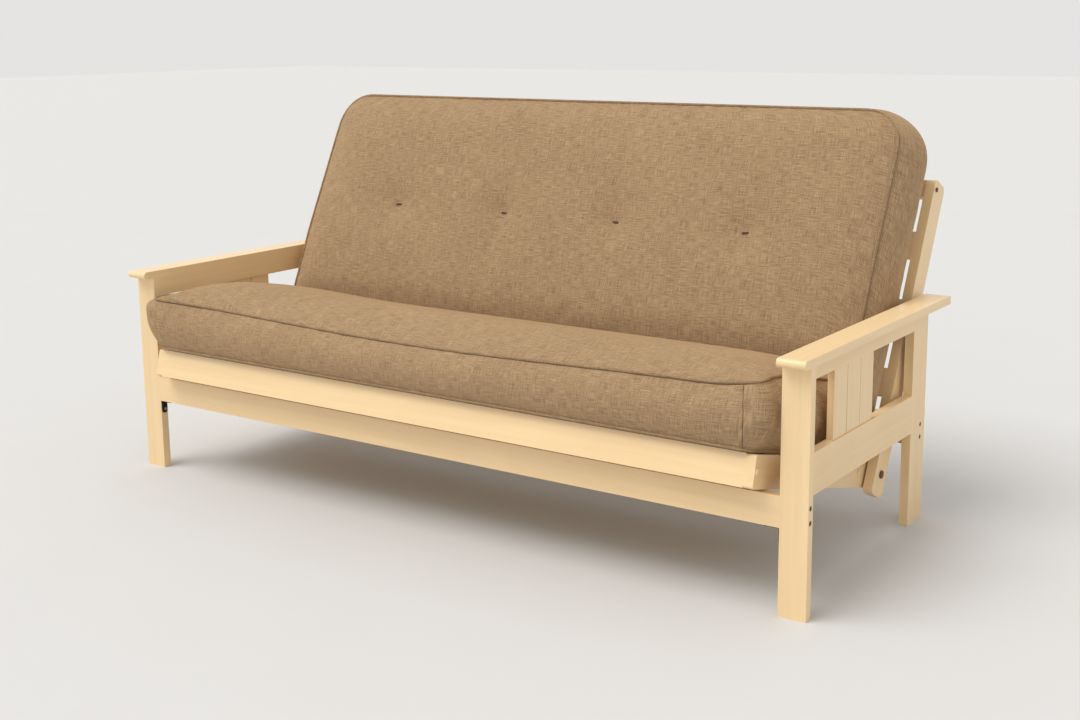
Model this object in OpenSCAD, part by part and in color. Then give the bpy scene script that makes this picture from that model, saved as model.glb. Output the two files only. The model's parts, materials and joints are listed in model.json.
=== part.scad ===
// Futon sofa bed with a bi-fold deck: two slatted arms, two stretchers, a seat deck and a back deck
// that share a pivot, and one thick mattress. Units are millimetres, Z is up, the front faces -Y.
// The pieces are drawn with y = 0 at the front face of the front legs, then moved by y_shift so
// that the origin lies under the middle of the whole object.

/* [Overall] */
// Width over both arms
frame_w = 2108; // [1500:1:2400]
// Height of the top face of the arms
arm_h = 581; // [520:1:680]
// Distance from the front face of the front legs to the rear face of the rear legs
frame_d = 794; // [740:1:950]

/* [Arms] */
// Width of a front leg, seen from the front
front_leg_w = 67; // [55:1:90]
// Thickness of the legs, rails and stretchers
board_t = 23; // [20:1:30]
// Width of a rear leg, seen from the side
rear_leg_w = 95; // [70:1:120]
// Thickness of the arm top
arm_top_t = 20; // [15:1:30]
// How far the arm top stands out in front of the front leg
nose = 32; // [10:1:45]
// How far the arm top stands out behind the rear leg
tail = 35; // [10:1:60]
// Height of the lower edge of the lower arm rail
lower_rail_z = 244; // [230:1:248]
// Depth of the lower arm rail
lower_rail_h = 98; // [92:1:110]
// Depth of the upper arm rail
upper_rail_h = 53; // [40:1:70]
// Width of one arm slat
slat_w = 73; // [50:1:90]
// Thickness of an arm slat
slat_t = 16; // [10:1:18]
// Number of arm slats
slat_count = 3; // [1:1:4]
// Gap between two arm slats
slat_gap = 2; // [1:0.5:10]
// Distance from the front leg to the first arm slat
slat_start = 203; // [100:1:240]

/* [Stretchers] */
// Height of the top edge of both stretchers
stretcher_z = 273; // [271:1:275]
// Depth of a stretcher
stretcher_h = 72; // [60:1:90]
// Distance from the rear face of the rear legs to the rear face of the rear stretcher
rear_set = 17; // [10:1:40]

/* [Decks] */
// Slope of the seat deck in the sofa position, in degrees
seat_tilt = 15; // [14:0.5:16]
// Lean of the back deck behind the vertical in the sofa position, in degrees
back_lean = 26.3; // [24:0.1:28]
// Thickness of the deck side rails
deck_t = 25; // [20:1:28]
// Depth of the seat side rails
seat_rail_h = 75; // [68:1:80]
// Depth of the back side rails
back_rail_h = 72; // [64:1:76]
// Length of the seat deck from the pivot to its front face
seat_len = 657; // [600:1:720]
// Length of the back deck from the pivot to its top
back_len = 774; // [700:1:850]
// How far the back side rails reach below the pivot
heel = 56; // [45:1:70]
// Distance of the pivot behind the front face of the front legs
pivot_y = 598; // [585:1:610]
// Distance of the pivot behind the front face of the front legs in the bed position
pivot_bed_y = 245; // [225:1:255]
// Width of a deck board
slab_w = 72; // [50:1:90]
// Thickness of a deck board
slab_t = 15; // [12:1:20]
// How deep the deck boards are let into the side rails
housing = 10; // [5:1:14]
// Depth of the rail across the top of the back deck
top_rail_h = 50; // [40:1:70]
// Depth of the rail across the rear of the seat deck
rear_rail_h = 60; // [40:1:65]
// Width of the lengthways braces under the deck boards
brace_w = 36; // [25:1:60]

/* [Fold] */
// Distance of the roller from the pivot, along the back side rail
roller_r = 120; // [115:1:125]
// Distance of the roller behind the middle line of the back side rail
roller_q = 8; // [4:1:12]
// Rise of the groove in the arm above the straight line between its ends
groove_rise = 37; // [35:0.5:39]
// Diameter of a roller
roller_d = 16; // [12:0.5:18]
// Length of a roller
roller_l = 10; // [8:0.5:11]
// Depth of the groove in the arm
groove_depth = 12; // [11.5:0.5:14]

/* [Mattress] */
// Gap between the mattress and an arm, on each side
mattress_side = 22; // [18:0.5:60]
// Thickness of the mattress over the back deck
mattress_t = 200; // [150:1:215]
// Thickness of the mattress where it folds
mattress_fold_t = 222; // [180:1:235]
// Thickness of the mattress at the front of the seat
mattress_front_t = 158; // [120:1:190]
// How far the mattress stands out in front of the seat deck
mattress_over = 30; // [10:1:45]
// How far the mattress reaches past the top of the back deck
mattress_top = 112; // [60:1:150]
// Radius of the rounded edges of the mattress
mattress_edge = 58; // [30:1:65]

/* [Hardware] */
// Diameter of the bolts that hold the stretchers and the deck rails
bolt_d = 6; // [5:0.5:8]
// Diameter of the heads of those bolts
bolt_head_d = 12; // [10:0.5:15]
// Depth of the counterbore for a bolt head
bolt_sink = 5; // [4:0.5:7]
// Distance between the two bolts at one end of a stretcher
bolt_pitch = 33; // [20:1:40]
// Diameter of a barrel nut
barrel_d = 10; // [9:0.5:12]
// Length of a barrel nut
barrel_l = 14; // [12:0.5:16]
// Diameter of the pivot bolts
pivot_d = 10; // [8:0.5:12]
// Diameter of the roller pins
pin_d = 8; // [6:0.5:9]
// Diameter of the dowels in the arms
dowel_d = 8; // [6:0.5:10]
// Thickness of the steel corner brackets
bracket_t = 2.5; // [2:0.5:4]
// Length of each leg of a corner bracket
bracket_l = 38; // [28:1:45]
// Width of a corner bracket
bracket_w = 18; // [14:1:20]
// Diameter of the bracket screws
screw_d = 4; // [3:0.5:5]

/* [Clearances] */
// Gap between the back deck and the arms, on each side
arm_gap = 12; // [8:0.5:15]
// Gap between a seat side rail and a back side rail
rail_gap = 5; // [3:0.5:8]
// Gap under the seat deck where it slides on the front stretcher
slide_gap = 0.6; // [0.4:0.1:1]
// Radial clearance of a moving pin in its bore
run_fit = 0.08; // [0.05:0.01:0.1]
// Clearance on each side of a glued or bolted joint
glue_gap = 0.15; // [0.1:0.05:0.3]
// Clearance on each side of a roller in its groove
groove_gap = 1; // [0.5:0.1:1.2]
// Clearance around the mattress
soft_gap = 1; // [0.5:0.1:2]

/* [Hidden] */
$fn = 48;
sides = [-1, 1];
x_in = frame_w / 2 - front_leg_w;            // inner face of the arms
leg_h = arm_h - arm_top_t;
rear_y = frame_d - rear_leg_w;               // front edge of the rear legs
upper_rail_z = leg_h - upper_rail_h;
lower_rail_top = lower_rail_z + lower_rail_h;
stretcher_low = stretcher_z - stretcher_h;
rear_stretcher_y = frame_d - rear_set - board_t;
bolt_zs = [for (k = [-1, 1]) stretcher_z - stretcher_h / 2 + k * bolt_pitch / 2];

back_x = x_in - arm_gap;                     // outer face of the back side rails
seat_x = back_x - deck_t - rail_gap;         // outer face of the seat side rails

// A place across the arms: [distance towards the rear, height]
function turned(v, a) = [v[0] * cos(a) - v[1] * sin(a), v[0] * sin(a) + v[1] * cos(a)];
function span(v) = sqrt(v[0] * v[0] + v[1] * v[1]);

// The seat side rail slides on the rear top corner of the front stretcher in the sofa position
// and lies flat on the stretcher in the bed position.
slide_h = seat_rail_h / 2 + slide_gap;
pivot_z = stretcher_z + (slide_h - (pivot_y - board_t) * sin(seat_tilt)) / cos(seat_tilt);
pivot = [pivot_y, pivot_z];
pivot_bed = [pivot_bed_y, stretcher_z + slide_h];
roller = pivot + turned([roller_q, roller_r], -back_lean);
roller_bed = pivot_bed + [roller_r, -roller_q];

// The groove is an arc through both places of the roller
chord = roller_bed - roller;
half_chord = span(chord) / 2;
groove_radius = (half_chord * half_chord + groove_rise * groove_rise) / (2 * groove_rise);
groove_up = [chord[1], -chord[0]] / span(chord);
groove_centre = (roller + roller_bed) / 2 - groove_up * (groove_radius - groove_rise);
groove_angle = 2 * atan2(half_chord, groove_radius - groove_rise);
groove_start = atan2(roller[1] - groove_centre[1], roller[0] - groove_centre[0]);

// Fold of the mattress: the plane that halves the angle between the decks
fold_half = (90 - seat_tilt + back_lean) / 2;
seat_face = seat_rail_h / 2 + soft_gap;      // underside of the mattress over the seat deck
back_face = back_rail_h / 2 + soft_gap;      // rear face of the mattress before the back deck
mattress_front = seat_len + mattress_over;
mattress_back_top = back_len + mattress_top;
// Where the faces that lie on the decks begin: clear of the fold's plane and of the other deck
function corner(own, other) = max((own + soft_gap) / tan(fold_half),
    (other + soft_gap + own * cos(2 * fold_half)) / sin(2 * fold_half));
arc_steps = 6;
function arc(c, r, a0, a1) =
    [for (k = [0 : arc_steps]) let (a = a0 + (a1 - a0) * k / arc_steps) c + r * [cos(a), sin(a)]];

mattress_w = 2 * (x_in - mattress_side);

// Outline of the seat half, [towards the rear, up] from the pivot with the deck level
seat_crease = seat_face + mattress_fold_t;
seat_crown = seat_face + mattress_front_t;
seat_outline = concat(
    [[-corner(seat_face, back_face), seat_face]],
    [[-(seat_crease + soft_gap) / tan(fold_half), seat_crease]],
    arc([mattress_edge - mattress_front, seat_crown - mattress_edge], mattress_edge, 100, 180),
    arc([mattress_edge - mattress_front, seat_face + mattress_edge], mattress_edge, 180, 270));

// Outline of the back half, [towards the rear, up] from the pivot with the deck upright
back_crease = back_face + mattress_fold_t;
back_outline = concat(
    [[-back_crease, (back_crease + soft_gap) / tan(fold_half)]],
    [[-back_face, corner(back_face, seat_face)]],
    arc([-back_face - mattress_edge, mattress_back_top - mattress_edge], mattress_edge, 0, 90),
    arc([mattress_edge - back_face - mattress_t, mattress_back_top - mattress_edge],
        mattress_edge, 90, 175));

// Middle of the whole object from front to rear
front_most = min([for (v = concat(seat_outline, [[-seat_len, -seat_rail_h / 2]]))
    pivot[0] + turned(v, -seat_tilt)[0]]);
rear_most = max(frame_d + tail, pivot[0] + turned([back_rail_h / 2, back_len], -back_lean)[0]);
y_shift = -(min(front_most, -nose) + rear_most) / 2;

// Places of the deck boards, from the pivot
seat_boards = [for (k = [1 : 4]) -seat_len + board_t + 8 + slab_w / 2 + (k - 1)
    * (seat_len - board_t - 2 * slab_w - 90) / 3];
back_boards = [for (k = [1 : 3]) roller_r + 107 + (k - 1) * (back_len - 410) / 2];
seat_rear_rail_y = -slab_w / 2 - 24;         // rear face of the rail across the rear of the seat
groove_r = roller_d / 2 + groove_gap;
groove_end = atan(groove_r / groove_radius);  // the groove runs on past each place of the roller
washer_d = 2.2 * pivot_d;
tan_head_d = 2 * pivot_d;
nut_t = 0.8 * pivot_d;
head_t = 0.4 * pivot_d;
bracket_hole = bracket_l - 12;               // from the corner of a bracket to its screws
screw_l = 16;
dowel_in_leg = 15;
dowel_in_rail = 25;
barrel_in = 28;                              // from the end of a stretcher to its barrel nuts

cream = [0.96, 0.88, 0.71];
cocoa = [0.55, 0.46, 0.36];
steel = [0.35, 0.34, 0.33];

// ---- Helpers ----

// Moves a child from the working place to the final place
module placed() translate([0, y_shift, 0]) children();

// Puts a child that is drawn around the pivot in its place
module seat_placed() placed() translate([0, pivot[0], pivot[1]]) rotate([-seat_tilt, 0, 0]) children();
module back_placed() placed() translate([0, pivot[0], pivot[1]]) rotate([-back_lean, 0, 0]) children();

// A box between two corners
module block(a, b) translate(a) cube(b - a);

// A box on the left (s = -1) or the right (s = 1), given by its right-hand corners
module side_block(s, a, b) mirrored(s) block(a, b);
module mirrored(s) if (s < 0) mirror([1, 0, 0]) children(); else children();

// An outline in [y, z] drawn out along X
module drawn(x0, x1) translate([x0, 0, 0]) rotate([90, 0, 90]) linear_extrude(x1 - x0) children();

// A round bar along X
module bar_x(x0, x1, y, z, d) translate([x0, y, z]) rotate([0, 90, 0]) cylinder(d = d, h = x1 - x0);

// A round bar along Y
module bar_y(x, y0, y1, z, d) translate([x, y0, z]) rotate([-90, 0, 0]) cylinder(d = d, h = y1 - y0);

// A rectangle from p to q with rounded corners
module soft_rect(p, q, r) {
    translate(p + [r, 0]) square([q[0] - p[0] - 2 * r, q[1] - p[1]]);
    translate(p + [0, r]) square([q[0] - p[0], q[1] - p[1] - 2 * r]);
    for (y = [p[0] + r, q[0] - r], z = [p[1] + r, q[1] - r]) translate([y, z]) circle(r);
}

// ---- Arms ----

// Stretcher bolt holes through a leg, for the right-hand side
module stretcher_bores(y, outer) {
    for (z = bolt_zs) {
        bar_x(x_in - 1, outer + 1, y, z, bolt_d + 2 * glue_gap);
        bar_x(outer - bolt_sink, outer + 1, y, z, bolt_head_d + 2 * glue_gap);
    }
}

// Dowels between the arm rails and the legs, grown by a clearance
module dowel_set(grow = 0) {
    d = dowel_d + 2 * grow;
    x = x_in + board_t / 2;
    for (z = [lower_rail_z + 24, lower_rail_top - 24, upper_rail_z + 14, leg_h - 14]) {
        bar_y(x, board_t - dowel_in_leg - grow, board_t + dowel_in_rail + grow, z, d);
        bar_y(x, rear_y - dowel_in_rail - grow, rear_y + dowel_in_leg + grow, z, d);
    }
}

module front_leg(s) color(cream) placed() mirrored(s) difference() {
    block([x_in, 0, 0], [frame_w / 2, board_t, leg_h]);
    stretcher_bores(board_t / 2, frame_w / 2);
    dowel_set(glue_gap);
    bar_x(x_in - 1, x_in + screw_l, board_t / 2, stretcher_low - bracket_hole, screw_d);
}

module rear_leg(s) color(cream) placed() mirrored(s) difference() {
    block([x_in, rear_y, 0], [x_in + board_t, frame_d, leg_h]);
    stretcher_bores(rear_stretcher_y + board_t / 2, x_in + board_t);
    dowel_set(glue_gap);
    bar_x(x_in - 1, x_in + screw_l, rear_stretcher_y + board_t / 2,
        stretcher_low - bracket_hole, screw_d);
}

// The front edge of the arm top is a full round nose
module arm_top(s) color(cream) placed() mirrored(s) {
    block([x_in, arm_top_t / 2 - nose, leg_h], [frame_w / 2, frame_d + tail, arm_h]);
    difference() {
        bar_x(x_in, frame_w / 2, arm_top_t / 2 - nose, leg_h + arm_top_t / 2, arm_top_t);
        block([x_in - 1, arm_top_t / 2 - nose, leg_h - 1], [frame_w / 2 + 1, 0, arm_h + 1]);
    }
}

module upper_rail(s) color(cream) placed() mirrored(s) difference() {
    block([x_in, board_t, upper_rail_z], [x_in + board_t, rear_y, leg_h]);
    dowel_set(glue_gap);
}

// The groove for the roller: an arc cut into the inner face, from one stop of the roller to the other
module groove() translate([x_in - 1, groove_centre[0], groove_centre[1]]) rotate([90, 0, 90])
    rotate([0, 0, groove_start - groove_end]) rotate_extrude(angle = groove_angle + 2 * groove_end)
        translate([groove_radius - groove_r, 0]) square([2 * groove_r, groove_depth + 1]);

module lower_rail(s) color(cream) placed() mirrored(s) difference() {
    block([x_in, board_t, lower_rail_z], [x_in + board_t, rear_y, lower_rail_top]);
    dowel_set(glue_gap);
    groove();
}

module arm_slats(s) color(cream) placed() mirrored(s)
    for (k = [0 : slat_count - 1]) let (y = board_t + slat_start + k * (slat_w + slat_gap))
        block([x_in + (board_t - slat_t) / 2, y, lower_rail_top],
            [x_in + (board_t + slat_t) / 2, y + slat_w, upper_rail_z]);

module arm_dowels() color("burlywood") placed() for (s = sides) mirrored(s) dowel_set();

// ---- Stretchers ----

// Barrel nuts at the end of a stretcher
module barrels(y, grow = 0) for (z = bolt_zs)
    bar_y(x_in - barrel_in, y + (board_t - barrel_l) / 2 - grow,
        y + (board_t + barrel_l) / 2 + grow, z, barrel_d + 2 * grow);

module stretcher(y) color(cream) placed() difference() {
    block([-x_in, y, stretcher_low], [x_in, y + board_t, stretcher_z]);
    for (s = sides) mirrored(s) {
        for (z = bolt_zs)
            bar_x(x_in - barrel_in - barrel_d, x_in + 1, y + board_t / 2, z, bolt_d + 2 * glue_gap);
        barrels(y, glue_gap);
        translate([x_in - bracket_hole, y + board_t / 2, stretcher_low - 1])
            cylinder(d = screw_d, h = screw_l + 1);
    }
}

module bolt_pair(y, outer) for (z = bolt_zs) {
    bar_x(x_in - barrel_in - barrel_d + 2, outer - bolt_sink, y, z, bolt_d);
    bar_x(outer - bolt_sink, outer - 1, y, z, bolt_head_d);
}

module stretcher_bolts() color(steel) placed() for (s = sides) mirrored(s) {
    bolt_pair(board_t / 2, frame_w / 2);
    bolt_pair(rear_stretcher_y + board_t / 2, x_in + board_t);
}

module stretcher_barrel_nuts() color("silver") placed() for (s = sides) mirrored(s)
    difference() {
        union() {
            barrels(0);
            barrels(rear_stretcher_y);
        }
        for (y = [0, rear_stretcher_y], z = bolt_zs)
            bar_x(x_in - barrel_in - barrel_d, x_in, y + board_t / 2, z, bolt_d + 2 * run_fit);
    }

// One steel angle under the right-hand end of a stretcher, with a round lower end
module bracket(y) translate([x_in, y + board_t / 2, stretcher_low]) difference() {
    union() {
        block([-bracket_l, -bracket_w / 2, -bracket_t], [0, bracket_w / 2, 0]);
        block([-bracket_t, -bracket_w / 2, -bracket_l + bracket_w / 2], [0, bracket_w / 2, 0]);
        bar_x(-bracket_t, 0, 0, -bracket_l + bracket_w / 2, bracket_w);
    }
    bar_x(-bracket_t - 1, 1, 0, -bracket_hole, screw_d + 2 * glue_gap);
    translate([-bracket_hole, 0, -bracket_t - 1])
        cylinder(d = screw_d + 2 * glue_gap, h = bracket_t + 2);
}

module corner_brackets() color(steel) placed() for (s = sides) mirrored(s) {
    bracket(0);
    bracket(rear_stretcher_y);
}

module bracket_screws() color("silver") placed() for (s = sides, y = [0, rear_stretcher_y])
    mirrored(s) translate([x_in, y + board_t / 2, stretcher_low]) {
        bar_x(-bracket_t, screw_l - 2, 0, -bracket_hole, screw_d - 2 * glue_gap);
        bar_x(-bracket_t - 2.5, -bracket_t, 0, -bracket_hole, 2 * screw_d);
        translate([-bracket_hole, 0, -bracket_t])
            cylinder(d = screw_d - 2 * glue_gap, h = bracket_t + screw_l - 2);
        translate([-bracket_hole, 0, -bracket_t - 2.5]) cylinder(d = 2 * screw_d, h = 2.5);
    }

// ---- Back deck, drawn upright around the pivot ----

back_front = -back_rail_h / 2;
top_rail_y = back_front + 4;

module back_board_cut(grow) for (z = back_boards)
    block([-back_x + deck_t - housing - grow, back_front - grow, z - slab_w / 2 - grow],
        [back_x - deck_t + housing + grow, back_front + slab_t + grow, z + slab_w / 2 + grow]);

module back_side_rail(s) color(cream) back_placed() mirrored(s) difference() {
    drawn(back_x - deck_t, back_x)
        soft_rect([back_front, -heel], [back_rail_h / 2, back_len], 16);
    bar_x(back_x - deck_t - 1, back_x + 1, 0, 0, pivot_d + 2 * glue_gap);
    bar_x(back_x - deck_t - 1, back_x + 1, roller_q, roller_r, pin_d + 2 * glue_gap);
    bar_x(back_x - deck_t - 1, back_x + 1, top_rail_y + board_t / 2, back_len - top_rail_h / 2,
        bolt_d + 2 * glue_gap);
    back_board_cut(glue_gap);
}

module back_top_rail() color(cream) back_placed() difference() {
    block([-back_x + deck_t, top_rail_y, back_len - top_rail_h],
        [back_x - deck_t, top_rail_y + board_t, back_len - 4]);
    for (s = sides) mirrored(s) {
        bar_x(back_x - deck_t - barrel_in - barrel_d, back_x, top_rail_y + board_t / 2,
            back_len - top_rail_h / 2, bolt_d + 2 * glue_gap);
        back_barrel(glue_gap);
    }
}

module back_board(k) color(cream) back_placed()
    block([-back_x + deck_t - housing, back_front, back_boards[k] - slab_w / 2],
        [back_x - deck_t + housing, back_front + slab_t, back_boards[k] + slab_w / 2]);

// The brace runs behind the boards, from the lowest board to the top rail
module back_brace() color(cream) back_placed()
    block([-brace_w / 2, back_front + slab_t, back_boards[0] - slab_w / 2],
        [brace_w / 2, back_front + slab_t + board_t, back_len - top_rail_h]);

module back_barrel(grow = 0)
    bar_y(back_x - deck_t - barrel_in, top_rail_y + (board_t - barrel_l) / 2 - grow,
        top_rail_y + (board_t + barrel_l) / 2 + grow, back_len - top_rail_h / 2,
        barrel_d + 2 * grow);

module back_deck_bolts() color(steel) back_placed() for (s = sides) mirrored(s) {
    bar_x(back_x - deck_t - barrel_in - barrel_d + 2, back_x, top_rail_y + board_t / 2,
        back_len - top_rail_h / 2, bolt_d);
    bar_x(back_x, back_x + 3, top_rail_y + board_t / 2, back_len - top_rail_h / 2, bolt_head_d);
}

module back_barrel_nuts() color("silver") back_placed() for (s = sides) mirrored(s)
    difference() {
        back_barrel();
        bar_x(back_x - deck_t - barrel_in - barrel_d, back_x, top_rail_y + board_t / 2,
            back_len - top_rail_h / 2, bolt_d + 2 * run_fit);
    }

// The pivot bolt is held by the back side rail and turns in the seat side rail
module pivot_bolts() color(steel) back_placed() for (s = sides) mirrored(s) {
    bar_x(seat_x - deck_t - nut_t - 3, back_x, 0, 0, pivot_d);
    bar_x(back_x, back_x + head_t, 0, 0, tan_head_d);
}

module pivot_washers() color("silver") back_placed() for (s = sides) mirrored(s)
    difference() {
        bar_x(seat_x + 0.4, seat_x + rail_gap, 0, 0, washer_d);
        bar_x(seat_x, seat_x + rail_gap + 1, 0, 0, pivot_d + 2 * run_fit);
    }

module pivot_nuts() color("silver") back_placed() for (s = sides) mirrored(s)
    difference() {
        bar_x(seat_x - deck_t - 1 - nut_t, seat_x - deck_t - 1, 0, 0, 1.7 * pivot_d, $fn = 6);
        bar_x(seat_x - deck_t - 2 - nut_t, seat_x - deck_t, 0, 0, pivot_d + 2 * run_fit);
    }

module roller_pins() color(steel) back_placed() for (s = sides) mirrored(s) {
    bar_x(back_x - deck_t, x_in + roller_l, roller_q, roller_r, pin_d);
    bar_x(back_x - deck_t - 4, back_x - deck_t, roller_q, roller_r, 1.7 * pin_d);
}

// Nylon rollers that run in the grooves of the arms
module rollers() color("ivory") placed() for (s = sides) mirrored(s) difference() {
    bar_x(x_in + 0.5, x_in + 0.5 + roller_l, roller[0], roller[1], roller_d);
    bar_x(x_in - 1, x_in + 2 + roller_l, roller[0], roller[1], pin_d + 2 * run_fit);
}

// ---- Seat deck, drawn level around the pivot ----

seat_top = seat_rail_h / 2;
front_bolt_y = -seat_len + board_t / 2;
rear_bolt_y = seat_rear_rail_y - board_t / 2;

module seat_side_rail(s) color(cream) seat_placed() mirrored(s) difference() {
    drawn(seat_x - deck_t, seat_x) {
        circle(seat_top);
        translate([-seat_len + 12, -seat_top]) square([seat_len - 12, seat_rail_h]);
        soft_rect([-seat_len, -seat_top], [-seat_len + 60, seat_top], 6);
    }
    bar_x(seat_x - deck_t - 1, seat_x + 1, 0, 0, pivot_d + 2 * run_fit);
    for (y = [front_bolt_y, rear_bolt_y]) {
        bar_x(seat_x - deck_t - 1, seat_x + 1, y, 0, bolt_d + 2 * glue_gap);
        bar_x(seat_x - bolt_sink, seat_x + 1, y, 0, bolt_head_d + 2 * glue_gap);
    }
    for (y = seat_boards)
        block([seat_x - deck_t - 1, y - slab_w / 2 - glue_gap, seat_top - slab_t - glue_gap],
            [seat_x - deck_t + housing + glue_gap, y + slab_w / 2 + glue_gap, seat_top + 1]);
}

module seat_barrel(y, grow = 0)
    bar_y(seat_x - deck_t - barrel_in, y - barrel_l / 2 - grow, y + barrel_l / 2 + grow, 0,
        barrel_d + 2 * grow);

// A rail across the seat deck from z0 to z1, with its rear face at y
module seat_cross_rail(y, z0, z1) difference() {
    block([deck_t - seat_x, y - board_t, z0], [seat_x - deck_t, y, z1]);
    for (s = sides) mirrored(s) {
        bar_x(seat_x - deck_t - barrel_in - barrel_d, seat_x, y - board_t / 2, 0,
            bolt_d + 2 * glue_gap);
        seat_barrel(y - board_t / 2, glue_gap);
    }
}

module seat_front_rail() color(cream) seat_placed()
    seat_cross_rail(board_t - seat_len, -seat_top, seat_top);

module seat_rear_rail() color(cream) seat_placed()
    seat_cross_rail(seat_rear_rail_y, -rear_rail_h / 2, rear_rail_h / 2);

module seat_board(k) color(cream) seat_placed()
    block([deck_t - seat_x - housing, seat_boards[k] - slab_w / 2, seat_top - slab_t],
        [seat_x - deck_t + housing, seat_boards[k] + slab_w / 2, seat_top]);

// The brace runs under the boards, from the front rail to the rear rail
module seat_brace() color(cream) seat_placed()
    block([-brace_w / 2, board_t - seat_len, seat_top - slab_t - board_t],
        [brace_w / 2, seat_rear_rail_y - board_t, seat_top - slab_t]);

module seat_deck_bolts() color(steel) seat_placed() for (s = sides, y = [front_bolt_y, rear_bolt_y])
    mirrored(s) {
        bar_x(seat_x - deck_t - barrel_in - barrel_d + 2, seat_x - bolt_sink, y, 0, bolt_d);
        bar_x(seat_x - bolt_sink, seat_x - 1, y, 0, bolt_head_d);
    }

module seat_barrel_nuts() color("silver") seat_placed()
    for (s = sides, y = [front_bolt_y, rear_bolt_y]) mirrored(s) difference() {
        seat_barrel(y);
        bar_x(seat_x - deck_t - barrel_in - barrel_d, seat_x, y, 0, bolt_d + 2 * run_fit);
    }

// ---- Mattress: one pad, held as its seat half and its back half ----

module mattress_seat() color(cocoa) seat_placed()
    drawn(-mattress_w / 2, mattress_w / 2) polygon(seat_outline);

module mattress_back() color(cocoa) back_placed()
    drawn(-mattress_w / 2, mattress_w / 2) polygon(back_outline);

front_leg(-1);  // front_leg_left
front_leg(1);  // front_leg_right
rear_leg(-1);  // rear_leg_left
rear_leg(1);  // rear_leg_right
arm_top(-1);  // arm_top_left
arm_top(1);  // arm_top_right
upper_rail(-1);  // upper_rail_left
upper_rail(1);  // upper_rail_right
lower_rail(-1);  // lower_rail_left
lower_rail(1);  // lower_rail_right
arm_slats(-1);  // arm_slats_left
arm_slats(1);  // arm_slats_right
arm_dowels();
stretcher(0);  // front_stretcher
stretcher(rear_stretcher_y);  // rear_stretcher
stretcher_bolts();
stretcher_barrel_nuts();
corner_brackets();
bracket_screws();
back_side_rail(-1);  // back_side_rail_left
back_side_rail(1);  // back_side_rail_right
back_top_rail();
back_board(0);  // back_board_1
back_board(1);  // back_board_2
back_board(2);  // back_board_3
back_brace();
back_deck_bolts();
back_barrel_nuts();
pivot_bolts();
pivot_washers();
pivot_nuts();
roller_pins();
rollers();
seat_side_rail(-1);  // seat_side_rail_left
seat_side_rail(1);  // seat_side_rail_right
seat_front_rail();
seat_rear_rail();
seat_board(0);  // seat_board_1
seat_board(1);  // seat_board_2
seat_board(2);  // seat_board_3
seat_board(3);  // seat_board_4
seat_brace();
seat_deck_bolts();
seat_barrel_nuts();
mattress_seat();
mattress_back();
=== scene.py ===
# %% [markdown]
# # A futon sofa bed with a painted wooden frame
#
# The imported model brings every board, bolt and roller with its true shape and place.
# This lesson dresses it: paint for the wood, finishes for the hardware, and a real futon
# mattress in place of the two plain solids that stand for it.
# All sizes are in metres, the front faces -Y and Z is up.

# %% The frame and its measures
import json
import math

import bpy
import bmesh
import numpy as np
from mathutils import Matrix, Vector


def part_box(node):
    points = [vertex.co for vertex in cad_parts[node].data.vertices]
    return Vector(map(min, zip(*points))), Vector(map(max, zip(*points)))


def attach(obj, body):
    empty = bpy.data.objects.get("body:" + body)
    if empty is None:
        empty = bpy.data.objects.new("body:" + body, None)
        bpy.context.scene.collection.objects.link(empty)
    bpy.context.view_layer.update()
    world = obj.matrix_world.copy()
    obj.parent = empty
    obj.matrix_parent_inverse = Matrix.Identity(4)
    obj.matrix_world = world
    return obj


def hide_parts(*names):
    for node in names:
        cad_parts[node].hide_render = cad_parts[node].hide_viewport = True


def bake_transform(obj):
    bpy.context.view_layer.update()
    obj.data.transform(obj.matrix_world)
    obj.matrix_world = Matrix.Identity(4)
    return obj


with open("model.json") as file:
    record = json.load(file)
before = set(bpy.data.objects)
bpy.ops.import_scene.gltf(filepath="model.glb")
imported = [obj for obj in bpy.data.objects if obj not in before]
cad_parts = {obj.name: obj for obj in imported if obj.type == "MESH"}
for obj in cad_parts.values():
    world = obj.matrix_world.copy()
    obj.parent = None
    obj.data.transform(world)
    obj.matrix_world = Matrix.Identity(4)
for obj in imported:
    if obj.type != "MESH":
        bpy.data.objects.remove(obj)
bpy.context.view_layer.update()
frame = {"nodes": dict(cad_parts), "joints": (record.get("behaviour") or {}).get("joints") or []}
nodes = frame["nodes"]
pivot = next(j for j in frame["joints"] if j["name"] == "fold")["pos_m"]

# %% [markdown]
# ## The camera
#
# The sofa is seen from the front, a little from the right and from above eye level when
# seated. A moderately long lens keeps the arms from looking stretched. The camera is placed
# from the width of the frame and the slopes of its long edges.

# %% Camera
camera_data = bpy.data.cameras.new("camera")
camera = bpy.data.objects.new("camera", camera_data)
bpy.context.collection.objects.link(camera)
bpy.context.scene.camera = camera
camera.location = (2.2805, -3.1623, 1.2707)
turn, dip, roll = math.radians(34.28), math.radians(10.7), math.radians(-0.42)
camera.rotation_mode = "QUATERNION"
camera.rotation_quaternion = (
    Matrix.Rotation(turn, 3, "Z") @ Matrix.Rotation(math.pi / 2 - dip, 3, "X")
    @ Matrix.Rotation(roll, 3, "Z")
).to_quaternion()
camera_data.sensor_width = 36
camera_data.lens = 48.256
camera_data.shift_x, camera_data.shift_y = -0.025, -0.0595
print("camera at", tuple(camera.location))

# %% [markdown]
# ## Writing materials as sums
#
# A material is a small calculation, so it reads best as one. `Value` wraps a socket of the
# shader graph, and the usual operators add Math nodes. `Paint` adds any other node.


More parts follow.
